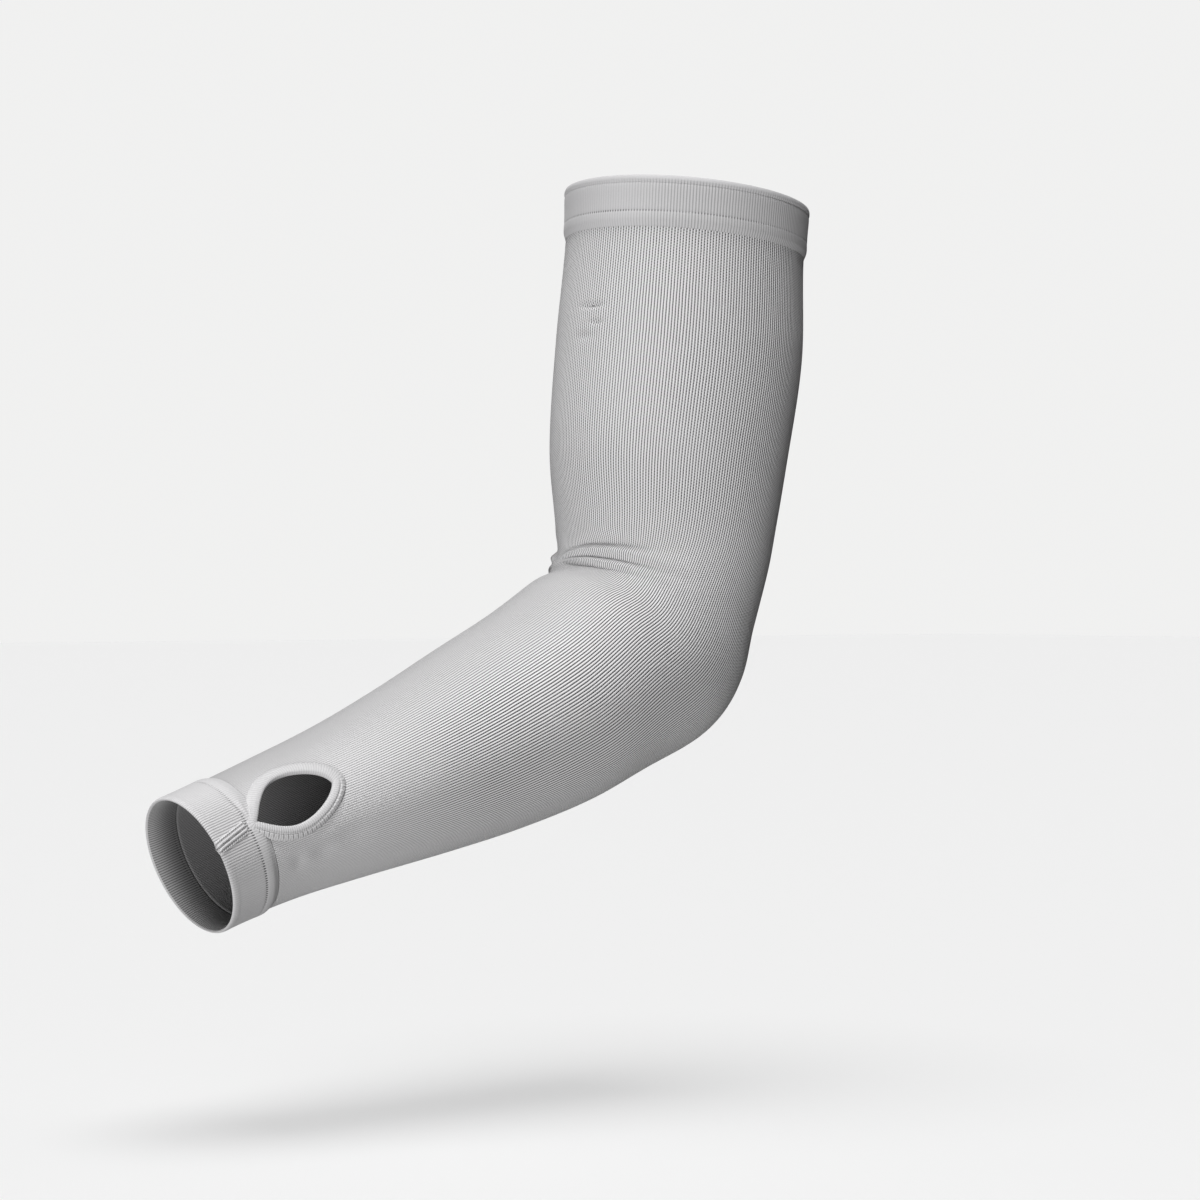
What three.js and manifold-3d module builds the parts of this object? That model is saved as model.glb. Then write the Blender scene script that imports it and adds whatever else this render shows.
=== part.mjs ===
// A knitted arm sleeve with a thumb opening, in the shape of the bent arm that it is made for.
// Millimetres, +Z up. The arm bends in the XZ plane, with the hand towards -X and the elbow towards +X.
// The origin is the centre of the upper opening. The thumb opening faces -Y and a little upwards.
import * as THREE from "three";
import { mergeVertices } from "three/addons/utils/BufferGeometryUtils.js";
import Module from "manifold-3d";

const wasm = await Module();
wasm.setup();

// Tube sizes
const upperLength = 186; // upper opening to the middle of the elbow, along the centre line
const foreLength = 243; // middle of the elbow to the wrist opening, along the centre line
const upperWidth = 104; // across the knit at the upper opening
const elbowWidth = 86; // across the knit just above the elbow
const foreWidth = 91; // across the knit just below the elbow
const wristWidth = 54.6; // across the knit at the wrist opening
const knitWall = 1.1; // thickness of the knit
const seatGap = 0.3; // clearance between one piece and the next

// Bend of the arm, with angles in degrees
const upperTilt = 6.5; // lean of the upper arm towards the hand at its opening
const upperEase = 3.5; // how much of that lean is lost by the elbow
const elbowBend = 63; // how far the centre line turns at the elbow
const elbowReach = 56; // length of the centre line over which it turns
const elbowFan = 104; // length of the centre line over which the rows of knit fan round the elbow
const wristLift = 9; // how much the forearm levels out between the elbow and the wrist
const wristDip = 6; // how much the wrist drops again
const wristDipReach = 60; // length over which the wrist drops
const elbowPoint = 3.6; // how far the point of the elbow stands out
const elbowPointSpread = 18; // length of sleeve that the point fills to either side
const elbowPointBelow = 8; // how far the point lies past the middle of the elbow
const foldDepth = 2.6; // depth of the deepest fold inside the elbow

// Hem bands
const upperBandHeight = 20; // from the rim to the lower edge
const wristBandHeight = 20.5; // from the rim to the inner edge
const upperBandLap = 5.5; // how far the band laps over the end of the tube
const wristBandLap = 7; // the same at the wrist
const lapWall = 1; // thickness of the layer that laps over the tube
const hemRoll = 0.4; // how far the rolled edge of the lap stands above that layer
const rimSwell = 1.1; // how far a rim stands proud of the knit
const waistSwell = 0.7; // how far a band's waist stands proud of the knit
const edgeRound = 0.6; // rounding of rims and edges

// Thumb opening and its binding
const thumbFromRim = 19; // wrist rim to the opening's pointed end
const thumbLength = 35; // opening, along the sleeve
const thumbOver = 13.6; // opening, from its long axis to its upper edge
const thumbUnder = 8.1; // opening, from its long axis to its lower edge
const thumbAngle = 115.2; // long axis, in degrees round the sleeve from the elbow side
const bindingWidth = 4.1; // from the opening's edge to the binding's outer edge
const bindingFold = 1.1; // how far the binding wraps round the cut edge of the knit
const bindingWall = 1.4; // how far the binding stands above the knit

// Closing seam of the wrist band
const seamWidth = 3.4; // across both lips
const seamWall = 0.8; // how far the seam stands up from the band
const seamGroove = 0.45; // depth of the groove along its middle
const seamFromRim = 0.9; // rim to the seam's end
const seamSwing = 3; // how far the seam's end at the rim lies below the opening's long axis

// Resolution
const around = 36; // columns round the sleeve
const steadyStep = 13; // ring spacing along the plain lengths
const foldStep = 3.3; // ring spacing round the elbow
const foldsBefore = 0.45; // share of the fan, before the elbow's middle, that has the close spacing
const foldsAfter = 0.4; // the same past the elbow's middle
const centreStep = 1; // step along the centre line
const thumbSteps = 44; // points round the thumb opening

const totalLength = upperLength + foreLength;
const tubeStart = upperBandHeight - upperBandLap;
const tubeEnd = totalLength - wristBandHeight + wristBandLap;
const plugReach = 2 * (seatGap + lapWall + hemRoll); // past the knit's faces, to cut the bands too
const { clamp, degToRad, lerp, smoothstep } = THREE.MathUtils;

// Sections of the tube. at is a share of that arm's length. taper goes from 0, that arm's first width,
// to 1, its last, in the plane of the bend. round is the depth across that plane, as a share of the
// width, and shift, towards the elbow side, is a share of the width too.
const upperSections = [
  { at: 0.0, taper: 0.0, round: 1.0, shift: 0.0 },
  { at: 0.12, taper: 0.06, round: 0.99, shift: 0.01 },
  { at: 0.35, taper: -0.17, round: 0.97, shift: 0.02 },
  { at: 0.6, taper: 0.12, round: 0.99, shift: 0.0 },
  { at: 0.8, taper: 0.81, round: 1.08, shift: 0.0 },
  { at: 0.93, taper: 1.0, round: 1.1, shift: -0.05 },
];
const foreSections = [
  { at: 0.0, taper: 0.02, round: 1.03, shift: -0.045 },
  { at: 0.08, taper: -0.03, round: 1.01, shift: -0.025 },
  { at: 0.16, taper: 0.0, round: 1.01, shift: -0.02 },
  { at: 0.27, taper: 0.1, round: 1.02, shift: 0.0 },
  { at: 0.41, taper: 0.28, round: 1.02, shift: 0.0 },
  { at: 0.55, taper: 0.53, round: 1.04, shift: 0.0 },
  { at: 0.68, taper: 0.75, round: 1.04, shift: 0.0 },
  { at: 0.8, taper: 0.9, round: 1.03, shift: 0.0 },
  { at: 0.9, taper: 0.98, round: 1.02, shift: 0.0 },
  { at: 1.0, taper: 1.0, round: 1.02, shift: -0.01 },
];

// Folds pressed into the inside of the elbow. at is where a fold crosses the middle of the inner side,
// as a share of the fan from the elbow's middle; sink, its depth as a share of foldDepth; half, its half
// width as a share of the fan; spread, the degrees that it runs to either side; and drift, how far its
// ends turn towards the hand, as a share of the fan.
const folds = [
  { at: -0.31, sink: 0.85, half: 0.045, spread: 66, drift: 0.02 },
  { at: -0.18, sink: 1.0, half: 0.04, spread: 58, drift: 0.04 },
  { at: 0.02, sink: 0.8, half: 0.05, spread: 56, drift: 0 },
];

// Upper side of the binding's section. across is a share of bindingWidth, up of bindingWall.
const bindingRoll = [
  { across: 0.2, up: 1.0 },
  { across: 0.6, up: 1.0 },
  { across: 0.9, up: 0.75 },
  { across: 1.0, up: 0.3 },
];

// The seam's section, one lip of it. side is a share of seamWidth from the middle, up of seamWall.
const seamLip = [
  { side: 0.12, up: 1.0 },
  { side: 0.3, up: 1.0 },
  { side: 0.5, up: 0.6 },
  { side: 0.5, up: 0.0 },
];

// The sleeve's surface
function sectionRow(row, start, length, fromWidth, toWidth) {
  const width = lerp(fromWidth, toWidth, row.taper);
  return {
    along: start + row.at * length,
    wide: width / 2,
    deep: (row.round * width) / 2,
    shift: row.shift * width,
  };
}

const sections = [
  ...upperSections.map((row) => sectionRow(row, 0, upperLength, upperWidth, elbowWidth)),
  ...foreSections.map((row) => sectionRow(row, upperLength, foreLength, foreWidth, wristWidth)),
];

// A column of the sections at a place along the sleeve, on smooth curves through the rows.
function sectionAt(column, along) {
  const last = sections.length - 1;
  const place = clamp(along, 0, totalLength);
  const found = sections.findIndex((row) => row.along > place);
  const i = found < 0 ? last - 1 : found - 1;
  const slope = (k) => {
    const before = sections[Math.max(k - 1, 0)];
    const after = sections[Math.min(k + 1, last)];
    return (after[column] - before[column]) / (after.along - before.along);
  };
  const span = sections[i + 1].along - sections[i].along;
  const t = (place - sections[i].along) / span;
  const rise = t * t * (3 - 2 * t);
  return (
    lerp(sections[i][column], sections[i + 1][column], rise) +
    span * t * (1 - t) * ((1 - t) * slope(i) - t * slope(i + 1))
  );
}

// The tilt in radians, from straight down towards the hand, with the elbow's turn spread over a reach.
function tiltAt(along, reach) {
  const eased = clamp(along / upperLength, 0, 1);
  const turned = smoothstep(along, upperLength - reach / 2, upperLength + reach / 2);
  const lifted = smoothstep(along, upperLength, totalLength);
  const dipped = smoothstep(along, totalLength - wristDipReach, totalLength);
  return degToRad(
    upperTilt - upperEase * eased + elbowBend * turned + wristLift * lifted - wristDip * dipped,
  );
}

const centreLine = [new THREE.Vector2(0, 0)];
for (let along = 0; along < totalLength; along += centreStep) {
  const tilt = tiltAt(along + centreStep / 2, elbowReach);
  const step = new THREE.Vector2(-Math.sin(tilt), -Math.cos(tilt)).multiplyScalar(centreStep);
  centreLine.push(centreLine.at(-1).clone().add(step));
}

function centreAt(along) {
  const index = clamp(Math.floor(along / centreStep), 0, centreLine.length - 2);
  return centreLine[index].clone().lerp(centreLine[index + 1], along / centreStep - index);
}

function foldSink(along, angle) {
  const fromInner = Math.abs(((angle + 360) % 360) - 180);
  let sink = 0;
  for (const fold of folds) {
    const run = fromInner / fold.spread;
    if (run >= 1) continue;
    const place = (along - upperLength) / elbowFan - fold.at - fold.drift * run ** 2;
    sink += fold.sink * Math.cos((run * Math.PI) / 2) * Math.exp(-((place / fold.half) ** 2));
  }
  return sink * foldDepth;
}

function elbowSwell(along, angle) {
  const facing = Math.max(0, Math.cos(degToRad(angle)));
  const place = (along - upperLength - elbowPointBelow) / elbowPointSpread;
  return elbowPoint * facing ** 2 * Math.exp(-(place ** 2));
}

// A point of the sleeve: along it, round it in degrees from the elbow side by way of -Y, and off its
// outer face.
function sleevePoint(along, angle, off) {
  const centre = centreAt(along);
  const tilt = tiltAt(along, elbowFan);
  const rise = off + elbowSwell(along, angle) - foldSink(along, angle);
  const turn = degToRad(angle);
  const out = sectionAt("shift", along) + (sectionAt("wide", along) + rise) * Math.cos(turn);
  const side = (sectionAt("deep", along) + rise) * Math.sin(turn);
  return new THREE.Vector3(centre.x + Math.cos(tilt) * out, -side, centre.y - Math.sin(tilt) * out);
}

// Meshes and cuts
function meshGeometry(points, faces) {
  const geometry = new THREE.BufferGeometry().setFromPoints(points);
  geometry.setIndex(faces);
  return geometry;
}

// A body between rows of points. Each row is a closed outline, and the rows close on each other or
// end in flat caps.
function sweptGeometry(rows, closed) {
  const count = rows[0].length;
  const faces = [];
  const steps = closed ? rows.length : rows.length - 1;
  for (let j = 0; j < steps; j += 1) {
    const next = (j + 1) % rows.length;
    for (let i = 0; i < count; i += 1) {
      const other = (i + 1) % count;
      const [a, b] = [j * count + i, j * count + other];
      const [c, d] = [next * count + other, next * count + i];
      faces.push(a, d, c, a, c, b);
    }
  }
  if (!closed) {
    const end = (rows.length - 1) * count;
    for (let i = 1; i < count - 1; i += 1) {
      faces.push(0, i, i + 1);
      faces.push(end, end + i + 1, end + i);
    }
  }
  return meshGeometry(rows.flat(), faces);
}

function toSolid(geometry) {
  const merged = mergeVertices(geometry);
  const vertProperties = new Float32Array(merged.attributes.position.array);
  const triVerts = new Uint32Array(merged.index.array);
  return new wasm.Manifold(new wasm.Mesh({ numProp: 3, vertProperties, triVerts }));
}

function cutGeometry(geometry, cutter) {
  const mesh = toSolid(geometry).subtract(toSolid(cutter)).getMesh();
  const result = new THREE.BufferGeometry();
  result.setAttribute("position", new THREE.Float32BufferAttribute(mesh.vertProperties, 3));
  result.setIndex(Array.from(mesh.triVerts));
  return result;
}

// A ring round the sleeve with the given outline of { along, off } points.
function ringGeometry(outline) {
  const rows = [];
  for (let j = 0; j < around; j += 1) {
    rows.push(outline.map(({ along, off }) => sleevePoint(along, (360 * j) / around, off)));
  }
  return sweptGeometry(rows, true);
}

// Knitted tube
function ringPlaces() {
  const fanStart = upperLength - foldsBefore * elbowFan;
  const fanEnd = upperLength + foldsAfter * elbowFan;
  const stretches = [
    { from: tubeStart, to: fanStart, step: steadyStep },
    { from: fanStart, to: fanEnd, step: foldStep },
    { from: fanEnd, to: tubeEnd, step: steadyStep },
  ];
  const places = [tubeStart];
  for (const { from, to, step } of stretches) {
    const steps = Math.round((to - from) / step);
    for (let i = 1; i <= steps; i += 1) places.push(lerp(from, to, i / steps));
  }
  return places;
}

function knitGeometry() {
  const outside = ringPlaces().map((along) => ({ along, off: 0 }));
  const inside = outside.map(({ along }) => ({ along, off: -knitWall })).reverse();
  return ringGeometry([...outside, ...inside]);
}

// Hem bands
// The outer face of a band, from its rim to the edge of its lap.
function bandFace(height, lap) {
  const lapTop = seatGap + lapWall;
  return [
    { reach: 0, off: rimSwell - edgeRound },
    { reach: edgeRound, off: rimSwell },
    { reach: (height - lap) / 2, off: waistSwell },
    { reach: height - lap - lapWall, off: waistSwell },
    { reach: height - lap / 2, off: lapTop + hemRoll },
    { reach: height - edgeRound, off: lapTop },
    { reach: height, off: lapTop - edgeRound },
  ];
}

// A whole band: a rim as thick as the knit and more, with a lap over the end of the tube.
function bandOutline(height, lap) {
  const seat = height - lap - seatGap;
  return [
    ...bandFace(height, lap),
    { reach: height, off: seatGap },
    { reach: seat, off: seatGap },
    { reach: seat, off: -knitWall },
    { reach: edgeRound, off: -knitWall },
    { reach: 0, off: -knitWall + edgeRound },
  ];
}

function upperBandGeometry() {
  const outline = bandOutline(upperBandHeight, upperBandLap);
  return ringGeometry(outline.map(({ reach, off }) => ({ along: reach, off })));
}

function wristBandGeometry() {
  const outline = bandOutline(wristBandHeight, wristBandLap);
  return ringGeometry(outline.map(({ reach, off }) => ({ along: totalLength - reach, off })).reverse());
}

// Thumb opening
// The edge of the opening, pushed outwards by a margin, as reach from the wrist rim and side, the
// length round the sleeve above the long axis. One end is a point and the other is round.
function thumbEdge(margin) {
  const edge = [];
  for (let j = 0; j < thumbSteps; j += 1) {
    const turn = (2 * Math.PI * j) / thumbSteps;
    const t = (1 - Math.cos(turn)) / 2;
    const bulge = lerp(Math.sin(Math.PI * t), Math.abs(Math.sin(turn)), t);
    const side = turn < Math.PI ? thumbOver * bulge : -thumbUnder * bulge;
    edge.push(new THREE.Vector2(thumbFromRim + thumbLength * t, side));
  }
  return edge.map((point, j) => {
    const before = edge.at(j - 1);
    const after = edge[(j + 1) % thumbSteps];
    const outward = new THREE.Vector2(before.y - after.y, after.x - before.x).normalize();
    return point.clone().addScaledVector(outward, margin);
  });
}

// A point beside the opening's long axis: reach from the wrist rim, side round the sleeve, off the knit.
function wristPoint(reach, side, off) {
  const along = totalLength - reach;
  const radius = (sectionAt("wide", along) + sectionAt("deep", along)) / 2;
  return sleevePoint(along, thumbAngle + THREE.MathUtils.radToDeg(side / radius), off);
}

// A plug that cuts the opening, widened by a margin, through one side of the sleeve.
function thumbPlug(margin) {
  const edge = thumbEdge(margin);
  const level = (off) => edge.map(({ x, y }) => wristPoint(x, y, off));
  return sweptGeometry([level(-plugReach - knitWall), level(plugReach)], false);
}

// The binding wraps the knit's cut edge, inside the opening, and lies on its outer face.
function bindingGeometry() {
  const roll = bindingRoll.map(({ across, up }) => ({
    push: across * bindingWidth,
    off: seatGap + up * bindingWall,
  }));
  const section = [
    { push: 0, off: -knitWall + edgeRound },
    { push: 0, off: bindingWall / 2 },
    ...roll,
    { push: bindingWidth, off: seatGap },
    { push: bindingFold, off: seatGap },
    { push: bindingFold, off: -knitWall },
    { push: bindingFold / 2, off: -knitWall },
  ];
  const edges = section.map(({ push }) => thumbEdge(push));
  const rows = [];
  for (let j = 0; j < thumbSteps; j += 1) {
    rows.push(section.map(({ off }, i) => wristPoint(edges[i][j].x, edges[i][j].y, off)));
  }
  return sweptGeometry(rows, true);
}

// Closing seam of the wrist band: two lips with a groove between, from the rim to the binding's tip.
function seamGeometry() {
  const tip = thumbEdge(bindingWidth)[0].x - seatGap;
  const section = [
    ...seamLip.map(({ side, up }) => ({ side: -side, up })).reverse(),
    { side: 0, up: 1 - seamGroove / seamWall },
    ...seamLip,
  ];
  const face = bandFace(wristBandHeight, wristBandLap);
  const faceOff = (reach) => {
    const i = face.findIndex((point) => point.reach > reach) - 1;
    const share = (reach - face[i].reach) / (face[i + 1].reach - face[i].reach);
    return lerp(face[i].off, face[i + 1].off, share);
  };
  const bends = face.map(({ reach }) => reach).filter((reach) => reach > seamFromRim && reach < tip);
  const rows = [seamFromRim, ...bends, tip].map((reach) => {
    const middle = -seamSwing * (1 - reach / tip);
    const base = faceOff(reach) + seatGap;
    return section.map(({ side, up }) =>
      wristPoint(reach, middle + side * seamWidth, base + up * seamWall),
    );
  });
  return sweptGeometry(rows, false);
}

// The parts
function part(name, geometry, colour, roughness) {
  geometry.computeVertexNormals();
  const material = new THREE.MeshStandardMaterial({ color: colour, roughness, metalness: 0 });
  const mesh = new THREE.Mesh(geometry, material);
  mesh.name = name;
  return mesh;
}

const sleeve = new THREE.Group();
sleeve.add(
  part("knit_tube", cutGeometry(knitGeometry(), thumbPlug(bindingFold + seatGap)), 0xc8c7c7, 0.92),
  part("upper_band", upperBandGeometry(), 0xcbcacb, 0.9),
  part("wrist_band", cutGeometry(wristBandGeometry(), thumbPlug(bindingWidth + seatGap)), 0xcbcacb, 0.9),
  part("thumb_binding", bindingGeometry(), 0xcfcece, 0.88),
  part("cuff_seam", seamGeometry(), 0xc4c3c3, 0.9),
);

export default sleeve;
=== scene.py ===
import math

import bmesh
import bpy
import numpy as np
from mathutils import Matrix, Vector


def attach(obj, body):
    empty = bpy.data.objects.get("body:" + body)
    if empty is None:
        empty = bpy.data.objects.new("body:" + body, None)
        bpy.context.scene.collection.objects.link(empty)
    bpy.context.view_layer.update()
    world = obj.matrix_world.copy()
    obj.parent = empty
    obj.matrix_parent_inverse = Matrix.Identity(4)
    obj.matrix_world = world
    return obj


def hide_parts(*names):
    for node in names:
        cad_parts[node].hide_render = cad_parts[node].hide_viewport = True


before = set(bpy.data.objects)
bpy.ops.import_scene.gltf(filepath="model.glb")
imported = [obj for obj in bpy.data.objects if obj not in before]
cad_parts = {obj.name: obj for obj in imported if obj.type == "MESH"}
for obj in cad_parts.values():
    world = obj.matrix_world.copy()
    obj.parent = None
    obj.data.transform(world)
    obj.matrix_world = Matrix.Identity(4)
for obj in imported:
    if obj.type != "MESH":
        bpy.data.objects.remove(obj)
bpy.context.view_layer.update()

MM = 0.001

# Tube sizes, the same as in the model's source
UPPER_LENGTH = 186.0
FORE_LENGTH = 243.0
UPPER_WIDTH = 104.0
ELBOW_WIDTH = 86.0
FORE_WIDTH = 91.0
WRIST_WIDTH = 54.6
KNIT_WALL = 1.1
TOTAL_LENGTH = UPPER_LENGTH + FORE_LENGTH

# Bend of the arm, with angles in degrees
UPPER_TILT = 6.5
UPPER_EASE = 3.5
ELBOW_BEND = 63.0
ELBOW_REACH = 56.0
ELBOW_FAN = 104.0
WRIST_LIFT = 9.0
WRIST_DIP = 6.0
WRIST_DIP_REACH = 60.0
ELBOW_POINT = 3.6
ELBOW_POINT_SPREAD = 18.0
ELBOW_POINT_BELOW = 8.0

# Hem bands
UPPER_BAND = 20.0
WRIST_BAND = 20.5
UPPER_LAP = 5.5
WRIST_LAP = 7.0

# Thumb opening and its binding, a little longer and more pointed than in the model's source
THUMB_FROM_RIM = 19.0
THUMB_LENGTH = 36.0
THUMB_OVER = 13.6
THUMB_UNDER = 8.1
THUMB_SKEW = 2.8
THUMB_POINT = 1.35
THUMB_ANGLE = 115.2
EDGE_STEPS = 44
BINDING_WIDTH = 4.1
SEAM_SWING = 3.0

# Knit: wales run along the sleeve and courses run round it. The wales are stretched apart on the side of
# the thumb opening along the forearm, and on the far side along the upper arm.
WALES = 240
COURSE = 1.15
WIDE_SIDE = 0.355
UPPER_SWING = 0.07
FORE_SWING = -0.14
SWING_FROM = 150.0
SWING_TO = 265.0
# The wales cut the corner at the elbow: by this share of a turn, over these reaches above and below
CORNER_CUT = 0.032
CORNER_ABOVE = 50.0
CORNER_BELOW = 80.0
UPPER_RIBS = 252
CUFF_RIBS = 170
UPPER_RIDGE = 0.08
CUFF_RIDGE = 0.06

# Sections: share of the arm's length, taper between its two widths, depth and shift as shares of width
UPPER_SECTIONS = (
    (0.0, 0.0, 1.0, 0.0),
    (0.12, 0.06, 0.99, 0.01),
    (0.35, -0.17, 0.97, 0.02),
    (0.6, 0.12, 0.99, 0.0),
    (0.8, 0.81, 1.08, 0.0),
    (0.93, 1.0, 1.1, -0.05),
)
FORE_SECTIONS = (
    (0.0, 0.02, 1.03, -0.045),
    (0.08, -0.03, 1.01, -0.025),
    (0.16, 0.0, 1.01, -0.02),
    (0.27, 0.1, 1.02, 0.0),
    (0.41, 0.28, 1.02, 0.0),
    (0.55, 0.53, 1.04, 0.0),
    (0.68, 0.75, 1.04, 0.0),
    (0.8, 0.9, 1.03, 0.0),
    (0.9, 0.98, 1.02, 0.0),
    (1.0, 1.0, 1.02, -0.01),
)

# Folds inside the elbow, which run out to both sides from a pinch: place past the elbow's middle,
# depth, half widths above and below, degrees run from the pinch, drift of the far ends towards the
# hand, share of the depth that is left at the pinch, and how far the fold is drawn in to it. The rows
# of the lips have the place, height, half width, degrees run and share left at the pinch.
PINCH_PAST = -5.0
PINCH_ANGLE = 200.0
PINCH_EASE = 13.0
FOLDS = (
    (-33.5, 3.8, 7.5, 3.6, 88.0, 8.0, 0.15, 0.6),
    (-20.0, 2.9, 4.4, 3.0, 94.0, 9.0, 0.0, 1.0),
    (-3.0, 3.1, 5.0, 9.0, 82.0, -2.0, 0.0, 1.0),
)
FOLD_LIPS = (
    (-44.0, 1.3, 6.0, 72.0, 0.0),
    (-27.0, 1.4, 4.0, 84.0, 0.0),
    (-12.0, 1.3, 4.5, 80.0, 0.0),
    (-23.0, 1.6, 13.0, 38.0, 1.0),
)
# Drift of the lips' far ends towards the hand, and how steep a fold's sides are
LIP_DRIFT = 8.0
FOLD_POWER = 1.7

# Pleats at the tip of the thumb opening: depth, how many in a full turn, how much nearer the rim than
# the tip their fan is centred, how far from that centre they begin, are deepest and spread, and the
# fan's middle and half width in radians
PLEAT_DEPTH = 0.32
PLEATS = 19
PLEATS_BEHIND = 2.0
PLEATS_BEGIN = (2.0, 5.0)
PLEATS_DEEPEST = 5.0
PLEATS_SPREAD = 7.5
PLEATS_MIDDLE = 1.9
PLEATS_FAN = 0.55

# Small creases and puckers: along, angle, depth, half length and half width in degrees
PUCKERS = (
    (53.3, 174.0, 1.3, 0.9, 6.0),
    (60.3, 170.0, 1.0, 0.8, 3.5),
    (66.0, 177.0, 0.5, 1.5, 6.0),
    (374.0, 78.0, 0.5, 8.0, 7.0),
    (387.0, 73.0, 0.5, 5.0, 6.0),
    (398.0, 72.0, 0.4, 3.0, 7.0),
)


# The sleeve's surface
def section_rows():
    rows = []
    for at, taper, depth, shift in UPPER_SECTIONS:
        width = UPPER_WIDTH + (ELBOW_WIDTH - UPPER_WIDTH) * taper
        rows.append((at * UPPER_LENGTH, width / 2, depth * width / 2, shift * width))
    for at, taper, depth, shift in FORE_SECTIONS:
        width = FORE_WIDTH + (WRIST_WIDTH - FORE_WIDTH) * taper
        rows.append((UPPER_LENGTH + at * FORE_LENGTH, width / 2, depth * width / 2, shift * width))
    return np.array(rows)


SECTIONS = section_rows()


def smoothstep(x, low, high):
    t = np.clip((x - low) / (high - low), 0, 1)
    return t * t * (3 - 2 * t)


def hump(x, half):
    """A smooth hump, one high at zero."""
    return np.exp(-((x / half) ** 2))


def section_at(along):
    """Half width, half depth and shift at a place along the sleeve, on curves through the rows."""
    at = SECTIONS[:, 0]
    place = np.clip(along, 0, TOTAL_LENGTH)
    i = np.clip(np.searchsorted(at, place, side="right") - 1, 0, len(at) - 2)
    before = np.maximum(np.arange(len(at)) - 1, 0)
    after = np.minimum(np.arange(len(at)) + 1, len(at) - 1)
    span = at[i + 1] - at[i]
    t = (place - at[i]) / span
    rise = t * t * (3 - 2 * t)
    found = []
    for column in (1, 2, 3):
        values = SECTIONS[:, column]
        slope = (values[after] - values[before]) / (at[after] - at[before])
        mixed = values[i] + (values[i + 1] - values[i]) * rise
        found.append(mixed + span * t * (1 - t) * ((1 - t) * slope[i] - t * slope[i + 1]))
    return found


def tilt_at(along, reach):
    eased = np.clip(along / UPPER_LENGTH, 0, 1)
    turned = smoothstep(along, UPPER_LENGTH - reach / 2, UPPER_LENGTH + reach / 2)
    lifted = smoothstep(along, UPPER_LENGTH, TOTAL_LENGTH)
    dipped = smoothstep(along, TOTAL_LENGTH - WRIST_DIP_REACH, TOTAL_LENGTH)
    bent = ELBOW_BEND * turned + WRIST_LIFT * lifted - WRIST_DIP * dipped
    return np.radians(UPPER_TILT - UPPER_EASE * eased + bent)


def centre_line():
    """The middle of the sleeve in the plane of its bend, a point for each millimetre."""
    tilt = tilt_at(np.arange(0, TOTAL_LENGTH) + 0.5, ELBOW_REACH)
    x = np.concatenate(([0], np.cumsum(-np.sin(tilt))))
    z = np.concatenate(([0], np.cumsum(-np.cos(tilt))))
    return x, z


CENTRE_X, CENTRE_Z = centre_line()


def centre_at(along):
    """The middle of the sleeve at a place, which goes straight on past either end."""
    places = np.arange(len(CENTRE_X))
    over = along - np.clip(along, 0, TOTAL_LENGTH)
    tilt = tilt_at(along, ELBOW_REACH)
    x = np.interp(along, places, CENTRE_X) - over * np.sin(tilt)
    z = np.interp(along, places, CENTRE_Z) - over * np.cos(tilt)
    return x, z


def tip_pleats(along, angle):
    """Fine pleats that fan out from the thumb opening's tip, beside the wrist band."""
    reach, side = side_of(along, angle)
    ahead = reach - THUMB_FROM_RIM + PLEATS_BEHIND
    away = np.hypot(ahead, side)
    fan = np.arctan2(side, ahead)
    shown = smoothstep(away, *PLEATS_BEGIN) * hump(away - PLEATS_DEEPEST, PLEATS_SPREAD)
    return PLEAT_DEPTH * shown * hump(fan - PLEATS_MIDDLE, PLEATS_FAN) * np.cos(fan * PLEATS)


def turn_from(angle, middle):
    return np.abs((angle - middle + 180) % 360 - 180)


def fold_sink(along, angle):
    """How deep the surface is sunk by the folds, puckers and pleats."""
    from_pinch = turn_from(angle, PINCH_ANGLE)
    fan = 1 - np.exp(-from_pinch / PINCH_EASE)
    past = along - UPPER_LENGTH
    sink = np.zeros_like(past)
    for at, depth, above, below, reach, drift, near, drawn in FOLDS:
        run = np.minimum(from_pinch / reach, 1)
        place = past - PINCH_PAST - (at - PINCH_PAST) * (1 - drawn * (1 - fan)) - drift * run**2
        half = np.where(place < 0, above, below)
        fade = np.cos(run * math.pi / 2) * (near + (1 - near) * fan**2)
        sink += depth * fade * np.exp(-np.abs(place / half) ** FOLD_POWER)
    for at, height, half, reach, near in FOLD_LIPS:
        run = np.minimum(from_pinch / reach, 1)
        place = past - PINCH_PAST - (at - PINCH_PAST) * fan - LIP_DRIFT * run**2
        shown = np.cos(run * math.pi / 2) * (near + (1 - near) * fan**2)
        sink -= height * shown * hump(place, half)
    for at, middle, depth, half, reach in PUCKERS:
        sink += depth * hump(along - at, half) * hump(turn_from(angle, middle), reach)
    return sink + tip_pleats(along, angle)


def elbow_swell(along, angle):
    """How far the point of the elbow stands out."""
    facing = np.maximum(0, np.cos(np.radians(angle)))
    past = along - UPPER_LENGTH - ELBOW_POINT_BELOW
    return ELBOW_POINT * facing**2 * hump(past, ELBOW_POINT_SPREAD)


def sleeve_points(along, angle, off):
    """Points in metres: along the sleeve, round it in degrees from the elbow side, and off its face."""
    along, angle, off = np.broadcast_arrays(along, angle, off)
    x, z = centre_at(along)
    tilt = tilt_at(along, ELBOW_FAN)
    wide, deep, shift = section_at(along)
    rise = off + elbow_swell(along, angle) - fold_sink(along, angle)
    turn = np.radians(angle)
    out = shift + (wide + rise) * np.cos(turn)
    side = (deep + rise) * np.sin(turn)
    points = (x + np.cos(tilt) * out, -side, z - np.sin(tilt) * out)
    return np.stack(points, axis=-1) * MM


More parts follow.
